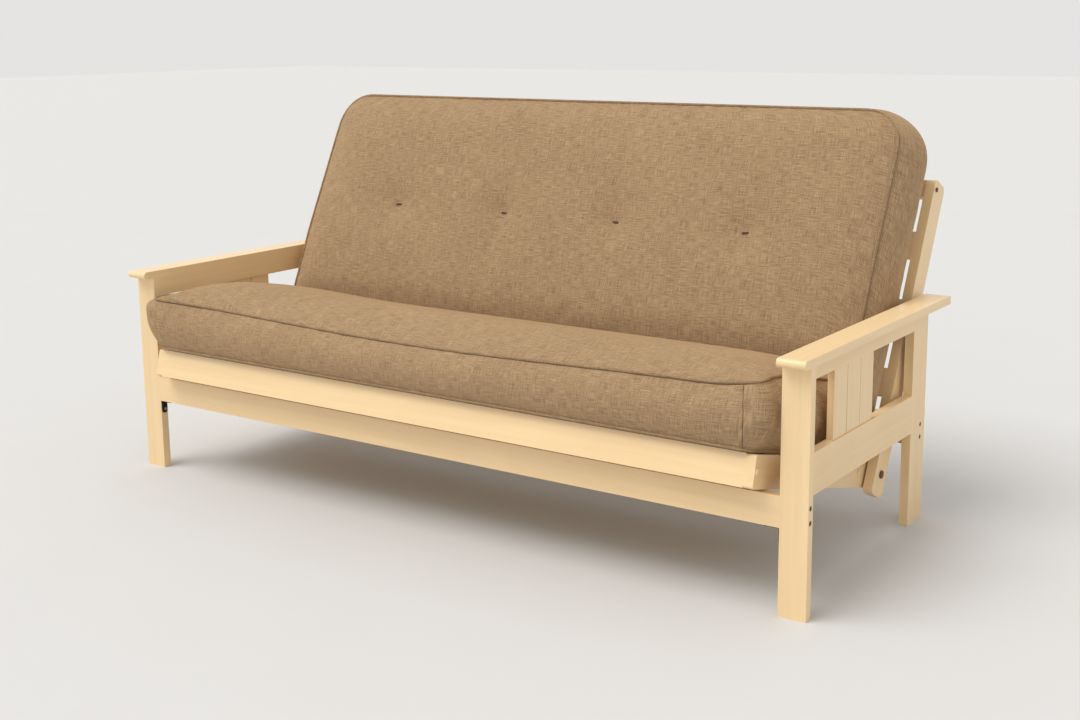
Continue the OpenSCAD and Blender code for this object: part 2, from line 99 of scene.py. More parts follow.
# %% Values
class Value:
    """A socket of a node tree that can be added, subtracted and multiplied."""

    def __init__(self, paint, socket):
        self.paint, self.socket = paint, socket

    def math(self, operation, *others, clamp=False):
        return self.paint.node("ShaderNodeMath", {"operation": operation, "use_clamp": clamp},
                               dict(enumerate((self,) + others)))

    def __add__(self, other):
        return self.math("ADD", other)

    def __sub__(self, other):
        return self.math("SUBTRACT", other)

    def __mul__(self, other):
        return self.math("MULTIPLY", other)

    def __rsub__(self, other):
        return self.paint.number(other) - self

    __radd__, __rmul__ = __add__, __mul__

    def clamped(self):
        return self.math("ADD", 0.0, clamp=True)

    def over(self, low, high):
        """0 below low, 1 above high and a smooth rise in between."""
        return self.paint.node(
            "ShaderNodeMapRange", {"interpolation_type": "SMOOTHSTEP"},
            {0: self, 1: low, 2: high, 3: 0.0, 4: 1.0})


# %% Paint
class Paint:
    """One material being mixed."""

    def __init__(self, name):
        self.material = bpy.data.materials.new(name)
        self.material.use_nodes = True
        self.tree = self.material.node_tree
        self.tree.nodes.clear()

    def put(self, socket, item):
        if isinstance(item, Value):
            self.tree.links.new(item.socket, socket)
        elif isinstance(item, (tuple, list)) and len(item) == 3 and len(socket.default_value) == 4:
            socket.default_value = (*item, 1.0)
        else:
            socket.default_value = item

    def node(self, kind, settings=None, inputs=None, out=0):
        """Any node: its settings first, then its inputs. Gives the output asked for."""
        made = self.tree.nodes.new(kind)
        for key, item in (settings or {}).items():
            setattr(made, key, item)
        for key, item in (inputs or {}).items():
            self.put(made.inputs[key], item)
        return Value(self, made.outputs[out]) if made.outputs else None

    def number(self, value):
        return self.node("ShaderNodeMath", {"operation": "ADD"}, {0: value, 1: 0.0})

    def place(self, scale=(1, 1, 1), turn=0.0, uv=None):
        """Coordinates on the object, in metres, stretched by scale after a turn about X."""
        if uv:
            spot = self.node("ShaderNodeUVMap", {"uv_map": uv})
        else:
            spot = self.node("ShaderNodeTexCoord", out=3)
        if turn:
            spot = self.node("ShaderNodeVectorRotate", {"rotation_type": "X_AXIS"},
                             {"Vector": spot, "Angle": turn})
        return self.node("ShaderNodeVectorMath", {"operation": "MULTIPLY"}, {0: spot, 1: scale})

    def noise(self, where, scale=1.0, detail=3.0, roughness=0.5, distortion=0.0):
        return self.node("ShaderNodeTexNoise", inputs={
            "Vector": where, "Scale": scale, "Detail": detail, "Roughness": roughness,
            "Distortion": distortion})

    def mix(self, share, first, second):
        """A colour between first and second. Sockets 6, 7 and 2 are the Mix node's colours."""
        return self.node("ShaderNodeMix", {"data_type": "RGBA"},
                         {0: share, 6: first, 7: second}, out=2)

    def bump(self, height, distance, strength=1.0, normal=None):
        inputs = {"Height": height, "Distance": distance, "Strength": strength}
        if normal:
            inputs["Normal"] = normal
        return self.node("ShaderNodeBump", inputs=inputs)

    def finish(self, color, roughness, normal=None, metallic=0.0, **uniform):
        """The surface itself. Names in uniform are the shader's own sockets."""
        inputs = {"Base Color": color, "Roughness": roughness, "Metallic": metallic}
        inputs.update({key.replace("_", " "): item for key, item in uniform.items()})
        if normal:
            inputs["Normal"] = normal
        surface = self.node("ShaderNodeBsdfPrincipled", inputs=inputs)
        self.node("ShaderNodeOutputMaterial", inputs={"Surface": surface})
        return self.material


print("Value and Paint are ready")

# %% [markdown]
# ## Painted wood
#
# The frame is brushed with a warm, slightly yellow white, in a satin finish. Under the paint
# the grain of the board still shows as long shallow ridges, so each direction of board gets
# its own paint, whose ridges follow the board. A little unevenness in colour and gloss makes
# it paint instead of plastic.

# %% Painted wood
CREAM = (0.900, 0.672, 0.385)
CREAM_DEEP = (0.780, 0.545, 0.285)


def painted_wood(name, along, turn=0.0):
    paint = Paint(name)
    stretch = [60.0, 60.0, 60.0]
    stretch["xyz".index(along)] = 2.2
    grain = paint.noise(paint.place(stretch, turn), 1.0, 5.0, 0.55, 0.25)
    brush_stretch = [420.0, 420.0, 420.0]
    brush_stretch["xyz".index(along)] = 9.0
    brushed = paint.noise(paint.place(brush_stretch, turn), 1.0, 2.0)
    cloudy = paint.noise(paint.place((5, 5, 5)), 1.0, 3.0)
    share = (grain * 1.1 + cloudy * 0.5 - 0.45).clamped()
    color = paint.mix(share, CREAM, CREAM_DEEP)
    height = grain * 0.7 + brushed * 0.3
    roughness = 0.28 + 0.12 * cloudy
    return paint.finish(color, roughness, paint.bump(height, 0.0006, 0.55), Coat_Weight=0.12,
                        Coat_Roughness=0.25)


SEAT_TILT, BACK_LEAN = math.radians(15), math.radians(26.3)
paint_x = painted_wood("paint_on_crosswise_boards", "x")
paint_y = painted_wood("paint_on_lengthwise_boards", "y")
paint_z = painted_wood("paint_on_upright_boards", "z")
paint_seat = painted_wood("paint_on_seat_rails", "y", SEAT_TILT)
paint_back = painted_wood("paint_on_back_rails", "z", BACK_LEAN)
print("five paints, one for each direction of board")

# %% [markdown]
# ## Hardware finishes
#
# Bolts and corner brackets are blackened steel, nuts and washers are plain zinc, the rollers
# are nylon and the dowels are bare beech. Blackened steel is never quite black: it has a
# bluish sheen and small scuffs that are a little lighter and rougher.


# %% Hardware finishes
def metal(name, color, worn, roughness, metallic):
    paint = Paint(name)
    scuffs = paint.noise(paint.place((1, 1, 1)), 260.0, 4.0, 0.6).over(0.52, 0.7)
    brushed = paint.noise(paint.place((900, 60, 60)), 1.0, 2.0)
    return paint.finish(paint.mix(scuffs * 0.6, color, worn), roughness + 0.15 * scuffs,
                        paint.bump(brushed * 0.5 + scuffs * 0.5, 0.00012, 0.4), metallic)


black_steel = metal("black_steel", (0.030, 0.024, 0.020), (0.105, 0.085, 0.068), 0.34, 0.7)
bronze = metal("bronzed_steel", (0.110, 0.066, 0.036), (0.200, 0.130, 0.080), 0.40, 0.6)
zinc = metal("zinc_plated_steel", (0.62, 0.62, 0.60), (0.42, 0.42, 0.41), 0.28, 1.0)


def nylon_finish():
    paint = Paint("nylon")
    speck = paint.noise(paint.place((1, 1, 1)), 400.0, 3.0)
    return paint.finish(paint.mix(speck, (0.80, 0.78, 0.70), (0.70, 0.67, 0.58)),
                        0.38 + 0.1 * speck, paint.bump(speck, 0.0001, 0.3))


def bare_beech():
    paint = Paint("bare_beech")
    grain = paint.noise(paint.place((160, 8, 160)), 1.0, 4.0)
    return paint.finish(paint.mix(grain, (0.62, 0.42, 0.24), (0.42, 0.26, 0.13)),
                        0.55 + 0.15 * grain, paint.bump(grain, 0.0003, 0.5))


nylon, beech = nylon_finish(), bare_beech()
print("black steel, zinc, nylon and beech are ready")

# %% [markdown]
# ## Dressing the boards
#
# A saw leaves a sharp edge and a router breaks it, so every board gets a small rounded edge
# from a Bevel modifier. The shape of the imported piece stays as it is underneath.

# %% Dressing the boards
ALONG_X = ("front_stretcher", "rear_stretcher", "back_top_rail", "back_board", "seat_front_rail",
           "seat_rear_rail", "seat_board")
ALONG_Y = ("arm_top", "upper_rail", "lower_rail")
ALONG_Z = ("front_leg", "rear_leg", "arm_slats")
FINISHES = (
    (ALONG_X, paint_x), (ALONG_Y, paint_y), (ALONG_Z, paint_z),
    (("seat_side_rail", "seat_brace"), paint_seat), (("back_side_rail", "back_brace"), paint_back),
    (("arm_dowels",), beech), (("rollers",), nylon),
    (("stretcher_bolts", "corner_brackets", "seat_deck_bolts"), black_steel),
    (("back_deck_bolts", "pivot_bolts"), bronze),
    (("stretcher_barrel_nuts", "bracket_screws", "back_barrel_nuts", "pivot_washers",
      "pivot_nuts", "roller_pins", "seat_barrel_nuts"), zinc))
BOARDS = ALONG_X + ALONG_Y + ALONG_Z + ("seat_side_rail", "seat_brace", "back_side_rail",
                                        "back_brace")


def dress(piece, finish, edge, segments):
    piece.data.materials.clear()
    piece.data.materials.append(finish)
    bevel = piece.modifiers.new("broken_edge", "BEVEL")
    bevel.width, bevel.segments, bevel.limit_method = edge, segments, "ANGLE"
    bevel.angle_limit = math.radians(40)
    bevel.harden_normals = False
    bevel.use_clamp_overlap = True


for names, finish in FINISHES:
    for name, piece in nodes.items():
        if name.startswith(names):
            wood = name.startswith(BOARDS)
            dress(piece, finish, 0.0026 if wood else 0.0004, 3 if wood else 2)
bare = [n for n, o in nodes.items() if not o.modifiers and not n.startswith("mattress")]
print("dressed", len(nodes) - 2, "pieces, left bare:", bare)

# %% [markdown]
# ## Linen-look cover
#
# The cover is a plain weave of brown yarn, with slubs: short thick lengths in single threads,
# a little lighter or darker than the rest. Each direction of yarn is a noise stretched along
# the thread, laid out by the cover's own flat pattern, so the threads run with the cloth.


# %% Linen
def linen(name, light, dark):
    paint = Paint(name)
    warp = paint.noise(paint.place((1300, 38, 1), uv="Weave"), 1.0, 2.0, 0.6)
    weft = paint.noise(paint.place((38, 1300, 1), uv="Weave"), 1.0, 2.0, 0.6)
    warp_slub = paint.noise(paint.place((680, 28, 1), uv="Weave"), 1.0, 2.0, 0.6)
    weft_slub = paint.noise(paint.place((28, 680, 1), uv="Weave"), 1.0, 2.0, 0.6)
    cloudy = paint.noise(paint.place((1, 1, 1)), 7.0, 3.0)
    uneven = (warp_slub - 0.5) * 2.1 + (weft_slub - 0.5) * 2.7
    share = ((warp + weft - 1) * 0.6 + uneven + 0.5 + (cloudy - 0.5) * 0.3).clamped()
    color = paint.mix(share, dark, light)
    height = (warp + weft) * 0.5 + uneven * 0.4
    soft = paint.noise(paint.place((1, 1, 1)), 30.0, 4.0, 0.6)
    fine = paint.bump(height, 0.0009, 0.55)
    return paint.finish(color, 0.86 + 0.1 * (1 - share), paint.bump(soft, 0.004, 0.25, fine),
                        Sheen_Weight=0.35, Sheen_Roughness=0.6, Sheen_Tint=(0.95, 0.62, 0.32),
                        Specular_IOR_Level=0.25)


COVER_LIGHT, COVER_DARK = (0.436, 0.293, 0.165), (0.207, 0.133, 0.070)
cover = linen("linen_cover", COVER_LIGHT, COVER_DARK)


def shaded(color, share):
    return tuple(share * c for c in color)


# The piping is the cover's linen at 0.86 of its colour: painted shade on the cord.
piping_painted_shade = linen("linen_piping_painted_shade", shaded(COVER_LIGHT, 0.86), shaded(COVER_DARK, 0.86))
# The seam linen is the cover at 0.33 of its colour: painted shadow in the seams' grooves.
painted_seam_shadow = linen("linen_painted_seam_shadow", shaded(COVER_LIGHT, 0.33), shaded(COVER_DARK, 0.33))
print("linen for the cover, its piping and the shaded seams")

# %% [markdown]
# ## The mattress
#
# A futon mattress is one pad of cotton and foam: two large panels, a boxing strip all round,
# piping in both seams, and tufts that tie the panels together through the filling. On the
# sofa it is folded over the pivot, and the fold squeezes a deep crease into the sitting side.
#
# It is drawn as it is sewn, in rows from the seat's front edge over the fold to the top of
# the back. A row is placed by a distance along its deck and a height above it.

# %% Places on the two decks
def on_seat(along, height):
    """[y, z] of a point this far in front of the pivot and this high above the seat deck."""
    c, s = math.cos(SEAT_TILT), math.sin(SEAT_TILT)
    return np.array([pivot[1] - along * c + height * s, pivot[2] + along * s + height * c])


def on_back(along, height):
    """[y, z] of a point this far up the back from the pivot and this high above its deck."""
    c, s = math.cos(BACK_LEAN), math.sin(BACK_LEAN)
    return np.array([pivot[1] - height * c + along * s, pivot[2] + height * s + along * c])


half_fold = (math.pi / 2 - SEAT_TILT + BACK_LEAN) / 2
fold_sin, fold_cos = math.sin(half_fold), math.cos(half_fold)
middle_angle = math.pi - SEAT_TILT - half_fold
out_of_fold = np.array([math.cos(middle_angle), math.sin(middle_angle)])
across_fold = np.array([out_of_fold[1], -out_of_fold[0]])
print("half of the fold is", round(math.degrees(half_fold), 2), "degrees")

# %% Measures of the mattress
PANEL_HALF = 0.932           # from the middle to the piping at the side
SEAT_CORNER, BACK_CORNER = 0.022, 0.095      # radius of the corners, seen from above
SEAT_EDGE, BACK_EDGE = 0.670, 0.877
SEAT_LOW, BACK_LOW = 0.0435, 0.0425
SEAT_FRONT_HIGH, CREASE_SIDE_HIGH, BACK_TOP_HIGH = 0.167, 0.216, 0.228
SEAT_CROWN, BACK_CROWN = 0.252, 0.258
CREASE_DEPTH, CREASE_HALF = 0.075, 0.012
BULGE_SIDE, BULGE_SEAT, BULGE_BACK = 0.042, 0.029, 0.028
TUFT_X = (-0.577, -0.189, 0.189, 0.579)
TUFT_BACK = 0.517
ROW_STEP = 0.0155


def eased(x):
    return 1 - np.exp(-np.maximum(x, 0) / 0.055)


def edge_rows(length, start):
    """Distances from an outer edge: close together on the rounded rim, then even."""
    rim = [0.0, 0.0022, 0.006, 0.0115, 0.019, 0.028, 0.0385, 0.0505]
    inner = np.linspace(0.064, length - start, int((length - start - 0.064) / ROW_STEP))
    return np.concatenate([rim, inner])


near_crease = np.array([0.062, 0.050, 0.039, 0.030, 0.0225, 0.0165, 0.012, 0.0085, 0.0055, 0.003])
print("rows near the crease:", len(near_crease))

# %% Rows and columns
def side_share(x):
    """Where a column lies: 0 at the piping on either side, rising to 1 inside."""
    return eased(PANEL_HALF - np.abs(x))


rim_x = PANEL_HALF - edge_rows(PANEL_HALF, 0.0)
columns = np.concatenate([-rim_x, rim_x[:-1][::-1]])


def edge_height(along, x, seat):
    """Height of the upper piping above the deck. At the seat's front it waves a little."""
    if seat:
        wave = (SEAT_FRONT_HIGH + 0.009 * np.sin(3.3 * (x - 0.45))
                + 0.012 * np.clip((x - 0.80) / 0.13, 0, 1) ** 2)
        return wave + (CREASE_SIDE_HIGH - wave) * (1 - np.exp((along - SEAT_EDGE) / 0.06))
    share = (along - 0.215) / 0.2
    return CREASE_SIDE_HIGH + (BACK_TOP_HIGH - CREASE_SIDE_HIGH) * np.clip(share, 0, 1)


def top_height(along, x, seat):
    """Height of the sitting side above the deck."""
    rim = edge_height(along, x, seat)
    if seat:
        crown = (SEAT_CROWN - 0.020 * (np.clip(along - 0.215, 0, 1) / 0.45) ** 2
                 + 0.014 * np.exp(-((x + 0.78) / 0.25) ** 2))
        from_end = SEAT_EDGE - along
    else:
        crown = BACK_CROWN
        from_end = BACK_EDGE - along
    return rim + (crown - rim) * eased(from_end) * side_share(x)


def low_height(along, x, seat):
    """Height of the underside above the deck: it lies flat, and the seams stand a little up."""
    low, edge = (SEAT_LOW, SEAT_EDGE) if seat else (BACK_LOW, BACK_EDGE)
    return low - 0.004 * eased(edge - along) * side_share(x)


def row_list(seat):
    """Rows of one half, from its outer edge to the crease: a share of the way, or a distance."""
    edge = SEAT_EDGE if seat else BACK_EDGE
    outer = edge_rows(edge, 0.305)
    return [("share", e / outer[-1]) for e in outer] + [("gap", d) for d in near_crease]


print("columns:", len(columns), "rows:", len(row_list(True)) + len(row_list(False)) + 1)

# %% From a row to places
FOLD_ROUND = 0.055           # how roundly the underside goes through the fold


def groove(d):
    return CREASE_DEPTH * np.exp(-np.abs(d) / 0.0085)


def spot(r, d, seat):
    """[y, z] at r out of the pivot along the middle of the fold and d to one side."""
    side = -1.0 if seat else 1.0
    return (np.array(pivot[1:])[None, :] + r[:, None] * out_of_fold[None, :]
            + side * d[:, None] * across_fold[None, :])


def row_places(kind, value, seat, top, x):
    edge = SEAT_EDGE if seat else BACK_EDGE
    height = top_height if top else low_height
    last = 0.075
    inner = (last + height(0.29 + 0 * x, x, seat) * fold_cos) / fold_sin
    if kind == "share":
        along = edge + (inner - edge) * value
        h = height(along, x, seat)
        d = along * fold_sin - h * fold_cos
    else:
        h = height((value + 0.25 * fold_cos) / fold_sin + 0 * x, x, seat)
        d = value + 0 * x
        along = (d + h * fold_cos) / fold_sin
    if top:
        r = along * fold_cos + h * fold_sin - groove(d)
    else:
        deep = d + (np.sqrt(d * d + FOLD_ROUND ** 2) - d) * np.exp(-(d / 0.25) ** 2)
        r = (h + deep * fold_cos) / fold_sin
    return spot(r, d, seat), along


def row_width(value_kind, along, seat):
    """Half the width of a row: less near the end, where the corners are round."""
    e = (SEAT_EDGE if seat else BACK_EDGE) - float(np.mean(along))
    corner = SEAT_CORNER if seat else BACK_CORNER
    if value_kind == "gap" or e >= corner:
        return PANEL_HALF
    return PANEL_HALF - (corner - math.sqrt(max(0.0, corner ** 2 - (corner - e) ** 2)))


rows = ([(k, v, True) for k, v in row_list(True)] + [("gap", 0.0, True)]
        + [(k, v, False) for k, v in reversed(row_list(False))])
panels = {}
for top in (True, False):
    grid = []
    for kind, value, seat in rows:
        places, along = row_places(kind, value, seat, top, columns)
        width = row_width(kind, along, seat)
        x = columns * width / PANEL_HALF
        grid.append(np.column_stack([x, places]))
    panels[top] = np.array(grid)
N_ROW, N_COL = panels[True].shape[:2]
print("each panel has", N_ROW, "rows of", N_COL, "points")

# %% [markdown]
# ## Tufts
#
# A tuft is a few turns of strong thread pulled through the whole pad. Here they are tied only
# lightly: the cover dips a little at the thread, and a wide shallow hollow runs out around it.

# %% Tuft hollows
tufts = [(x, on_back(TUFT_BACK, BACK_CROWN)) for x in TUFT_X]
TUFT_DEEP, TUFT_WIDE = 0.008, 0.006
tuft_lows = []
into_back = -np.array([-math.cos(BACK_LEAN), math.sin(BACK_LEAN)])
top_points = panels[True].reshape(-1, 3)
for x, place in tufts:
    gap = top_points - np.array([x, *place])
    distance = np.sqrt((gap ** 2).sum(1) - (gap[:, 1:] @ into_back) ** 2)
    deep = (TUFT_DEEP * np.exp(-(distance / 0.024) ** 1.5)
            + TUFT_WIDE * np.exp(-(distance / 0.085) ** 2))
    near = np.abs(gap[:, 1:] @ into_back) < 0.06
    top_points[:, 1:] += (deep * near)[:, None] * into_back[None, :]
    tuft_lows.append(int(np.argmin(distance + (~near) * 9)))
panels[True] = top_points.reshape(N_ROW, N_COL, 3)
print("tufts at", [tuple(round(float(v), 3) for v in top_points[i]) for i in tuft_lows])

# %% [markdown]
# ## Sewing the mattress together
#
# The boxing joins the two panels all round. Its rows run round the pad from the upper seam to
# the lower one and bulge out between them, more at the long sides, and less where the fold
# pinches it.

# %% The sewn mesh
BOX_ROWS = 9
ring_index = ([(i, N_COL - 1) for i in range(N_ROW)]
              + [(N_ROW - 1, j) for j in range(N_COL - 2, -1, -1)]
              + [(i, 0) for i in range(N_ROW - 2, -1, -1)] + [(0, j) for j in range(1, N_COL - 1)])
vertices = np.concatenate([panels[True].reshape(-1, 3), panels[False].reshape(-1, 3)])
panel_size = N_ROW * N_COL
top_ring = np.array([i * N_COL + j for i, j in ring_index])
low_ring = top_ring + panel_size
ring_count = len(top_ring)


def outward_of_ring():
    """Unit direction out of the pad at each point of the ring, in x and along the deck."""
    result = np.zeros((ring_count, 3))
    for n, (i, j) in enumerate(ring_index):
        kind, value, seat = rows[i]
        places, along = row_places(kind, value, seat, True, columns[j:j + 1])
        e = (SEAT_EDGE if seat else BACK_EDGE) - float(along[0])
        lean = 0.0 if kind == "gap" else max(0.0, 1 - e / (SEAT_CORNER if seat else BACK_CORNER))
        if j in (0, N_COL - 1) and i not in (0, N_ROW - 1):
            power = 4 if seat else 2     # the seat's corners are filled out nearly square
            nx, na = max(0.0, 1 - lean ** power) ** (1 / power), lean ** (2 / power)
        else:
            nx, na = 0.0, 1.0
        if i in (0, N_ROW - 1) and j in (0, N_COL - 1):
            nx, na = (0.85, 1.0) if seat else (0.35, 0.94)
        forth = (on_seat(1, 0) - on_seat(0, 0)) if seat else (on_back(1, 0) - on_back(0, 0))
        end = BULGE_SEAT if seat else BULGE_BACK
        result[n] = [nx * BULGE_SIDE * math.copysign(1, columns[j]), *(na * end * forth)]
        if kind == "gap":
            result[n] *= 1 - 0.55 * math.exp(-(value / 0.02) ** 2)
    return result


bulge = outward_of_ring()
upper, lower = vertices[top_ring], vertices[low_ring]
box_rows = [upper * (1 - f) + lower * f + bulge * math.sin(math.pi * f) ** 0.8
            for f in (k / BOX_ROWS for k in range(1, BOX_ROWS))]
vertices = np.concatenate([vertices] + box_rows)


SPREAD_FROM = np.array([0.93, 0.685])        # the corner itself: half the width, and along
SPREAD_REACH = np.array([0.085, 0.05])       # how far along the two seams the spread is felt
SPREAD_SIDE, SPREAD_AHEAD, SPREAD_RIGHT = 0.042, 0.027, 0.25


def spread_corners(places):
    """Ahead of the arms nothing holds the seat's corners in: their upper edge spreads out,
    more on the left, which is sat on less."""
    forth, up = on_seat(1, 0) - on_seat(0, 0), on_seat(0, 1) - on_seat(0, 0)
    reach = places[:, 1:] - np.array(pivot[1:])
    high = np.clip((reach @ up - 0.06) / 0.105, 0, 1) ** 2.2
    off = np.column_stack([np.abs(places[:, 0]), reach @ forth]) - SPREAD_FROM
    near = high * np.exp(-((off / SPREAD_REACH) ** 2).sum(1))
    near *= np.where(places[:, 0] < 0, 1.0, SPREAD_RIGHT)
    places[:, 0] += np.sign(places[:, 0]) * SPREAD_SIDE * near
    places[:, 1:] += (SPREAD_AHEAD * near)[:, None] * forth[None, :]


spread_corners(vertices)
leg_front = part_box("front_leg_left")[0][1]
beside = vertices[vertices[:, 1] > leg_front]
print("widest beside the arms:", round(float(np.abs(beside[:, 0]).max()), 4))
strips = [top_ring] + [2 * panel_size + k * ring_count + np.arange(ring_count)
                       for k in range(BOX_ROWS - 1)] + [low_ring]


def run_length(points):
    return np.concatenate([[0], np.cumsum(np.linalg.norm(np.diff(points, axis=0), axis=1))])


length = run_length(panels[True][:, N_COL // 2])
around = run_length(np.concatenate([upper, upper[:1]]))
faces, flat = [], []
for top in (True, False):
    base = 0 if top else panel_size
    for i in range(N_ROW - 1):
        for j in range(N_COL - 1):
            a = base + i * N_COL + j
            face = [a, a + 1, a + 1 + N_COL, a + N_COL]
            spots = [(columns[j], length[i]), (columns[j + 1], length[i]),
                     (columns[j + 1], length[i + 1]), (columns[j], length[i + 1])]
            if not top:
                face, spots = face[::-1], spots[::-1]
            faces.append(face)
            flat += spots
for k in range(BOX_ROWS):
    up, down = strips[k], strips[k + 1]
    for n in range(ring_count):
        m = (n + 1) % ring_count
        faces.append([int(v) for v in (up[n], down[n], down[m], up[m])])
        h = 0.165 / BOX_ROWS
        flat += [(around[n], 5 + k * h), (around[n], 5 + (k + 1) * h),
                 (around[n + 1], 5 + (k + 1) * h), (around[n + 1], 5 + k * h)]
print("the pad has", len(vertices), "points and", len(faces), "faces")

# %% A mesh object from points
def make_mesh(name, points, polygons, material, weave=None, smooth=True):
    mesh = bpy.data.meshes.new(name)
    mesh.from_pydata([tuple(map(float, p)) for p in points], [], polygons)
    mesh.materials.append(material)
    if weave is not None:
        layer = mesh.uv_layers.new(name="Weave")
        layer.data.foreach_set("uv", np.array(weave, np.float32).ravel())
    if smooth:
        mesh.polygons.foreach_set("use_smooth", [True] * len(mesh.polygons))
    mesh.update()
    made = bpy.data.objects.new(name, mesh)
    bpy.context.collection.objects.link(made)
    return made


mattress = make_mesh("mattress", vertices, faces, cover, flat)
check = bmesh.new()
check.from_mesh(mattress.data)
if check.calc_volume(signed=True) < 0:
    bmesh.ops.reverse_faces(check, faces=check.faces)
    check.to_mesh(mattress.data)
print("closed:", all(e.is_manifold for e in check.edges), "volume", round(check.calc_volume(), 3))
check.free()

# %% [markdown]
# ## Filling it
#
# The cover is cut a little larger than the filling, so the cloth gathers where it is held: at
# the seams, in the crease and around the tufts. Blender's Cloth does this with a light
# pressure inside. The seams, the crease, the underside and the tufts are pinned, and no point
# may move further than the filling could push it.

# %% Cloth
FILL_LIMIT = 0.010


def fill_with_cotton(piece, held, frames=20):
    start = np.array([v.co for v in piece.data.vertices])
    group = piece.vertex_groups.new(name="held")
    for weight in sorted(set(np.round(held[held > 0], 2))):
        chosen = [int(i) for i in np.flatnonzero(np.round(held, 2) == weight)]
        group.add(chosen, float(weight), "REPLACE")
    cloth = piece.modifiers.new("filling", "CLOTH")
    cloth.settings.quality = 5
    cloth.settings.mass = 0.3
    cloth.settings.effector_weights.gravity = 0
    cloth.settings.use_pressure = True
    cloth.settings.uniform_pressure_force = 4.0
    cloth.settings.tension_stiffness = cloth.settings.compression_stiffness = 12
    cloth.settings.bending_stiffness = 0.6
    cloth.settings.vertex_group_mass = "held"
    cloth.settings.shrink_min = -0.012
    cloth.settings.shrink_max = -0.012
    cloth.collision_settings.use_collision = False
    cloth.point_cache.frame_start, cloth.point_cache.frame_end = 1, frames
    for n in range(1, frames + 1):
        bpy.context.scene.frame_set(n)
    graph = bpy.context.evaluated_depsgraph_get()
    moved = np.array([v.co for v in piece.evaluated_get(graph).data.vertices])
    piece.modifiers.remove(cloth)
    bpy.context.scene.frame_set(1)
    step = moved - start
    size = np.linalg.norm(step, axis=1)
    limited = FILL_LIMIT * np.tanh(size / FILL_LIMIT)
    step *= (limited / np.maximum(size, 1e-9))[:, None]
    piece.data.vertices.foreach_set("co", (start + step).astype(np.float32).ravel())
    piece.data.update()
    return size


points = np.array([v.co for v in mattress.data.vertices])
held = np.zeros(len(points))
held[panel_size:2 * panel_size] = 1.0
held[top_ring] = 1.0
for strip in strips[-3:]:
    held[strip] = 1.0
from_fold = np.abs((points[:, 1:] - np.array(pivot[1:])) @ across_fold)
held[from_fold < 0.016] = 1.0
for low in tuft_lows:
    held[np.linalg.norm(points - points[low], axis=1) < 0.017] = 1.0
moved = fill_with_cotton(mattress, held)
print("the cloth moved", round(float(moved.max()), 3), "m at most and",
      round(float(moved.mean()), 4), "on average")

# %% [markdown]
# ## Piping
#
# Piping is a cord wrapped in a strip of the cover and sewn into both seams. It is swept round
# the pad as a thin tube, after the filling, so that it follows the seams exactly. Its linen is
# a little darker than the cover: painted shade on the cord. Under the upper cord the stitches
# pull the boxing in, and the shadow in that groove is painted as a thin dark tube all round.

# %% Tubes
def swept_tube(name, path, radius, material, closed=True, sides=10):
    """A tube round a path, with its own flat pattern for the weave."""
    path = np.asarray(path, float)
    count = len(path)
    if closed:
        ahead, behind = np.roll(path, -1, 0), np.roll(path, 1, 0)
    else:
        ahead = np.vstack([path[1:], path[-1:]])
        behind = np.vstack([path[:1], path[:-1]])
    tangent = ahead - behind
    tangent /= np.maximum(np.linalg.norm(tangent, axis=1), 1e-9)[:, None]
    side = np.cross(tangent[0], [0.3, 0.2, 1.0])
    side /= np.linalg.norm(side)
    rings = []
    for p, t in zip(path, tangent):
        side = side - t * (side @ t)
        side /= np.linalg.norm(side)
        other = np.cross(t, side)
        turns = np.arange(sides) * 2 * math.pi / sides
        rings.append(p + radius * (np.cos(turns)[:, None] * side + np.sin(turns)[:, None] * other))
    points = np.concatenate(rings)
    runs = run_length(np.vstack([path, path[:1]]))
    polygons, weave = [], []
    for n in range(count if closed else count - 1):
        m = (n + 1) % count
        for s in range(sides):
            q = (s + 1) % sides
            polygons.append([n * sides + s, m * sides + s, m * sides + q, n * sides + q])
            v0, v1 = s * 2 * math.pi * radius / sides, (s + 1) * 2 * math.pi * radius / sides
            weave += [(runs[n], v0), (runs[n + 1], v0), (runs[n + 1], v1), (runs[n], v1)]
    if not closed:
        for n, turned in ((0, True), (count - 1, False)):
            ring = [n * sides + s for s in range(sides)]
            polygons.append(ring[::-1] if turned else ring)
            weave += [(0.0, 0.0)] * sides
    return make_mesh(name, points, polygons, material, weave)


def smooth_ring(path, times):
    for _ in range(times):
        path = 0.5 * path + 0.25 * (np.roll(path, 1, 0) + np.roll(path, -1, 0))
    return path


PIPING, CORD_OUT = 0.0038, 0.002      # radius of the cord, and how far it stands out
# A thin tube in the dark seam linen lies under the upper cord: painted shadow of the stitched
# groove.
SHADOW_LINE_RADIUS, SHADOW_LINE_BELOW = 0.0013, 0.0036      # the shaded line of stitches under the cord
points = np.array([v.co for v in mattress.data.vertices])
outward = bulge / np.maximum(np.linalg.norm(bulge, axis=1), 1e-9)[:, None]
upper_piping, lower_piping = (
    swept_tube(name, smooth_ring(points[ring] + CORD_OUT * outward, 2), PIPING, piping_painted_shade)
    for name, ring in (("upper_piping", top_ring), ("lower_piping", low_ring)))
down = points[low_ring] - points[top_ring]
down /= np.linalg.norm(down, axis=1)[:, None]
painted_shadow_line = swept_tube("painted_shadow_under_piping", smooth_ring(
    points[top_ring] + SHADOW_LINE_BELOW * (down + outward) + 0.0004 * outward, 2),
    SHADOW_LINE_RADIUS, painted_seam_shadow)
print("piping round both seams,", round(float(around[-1]), 2), "m each")

# %% Rounder cloth
def refine(piece, levels=1):
    soft = piece.modifiers.new("rounder", "SUBSURF")
    soft.levels = soft.render_levels = levels


refine(mattress)
print("the mattress shows", 4 * len(mattress.data.polygons), "faces")

# %% Taking the place of the plain solids
for piece in (mattress, upper_piping, lower_piping, painted_shadow_line):
    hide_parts("mattress_seat", "mattress_back")
    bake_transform(piece)

# %% [markdown]
# ## Tuft threads
#
# Each tuft shows as one short bar of thick brown thread: a few turns side by side that go
# into the cover at both ends.

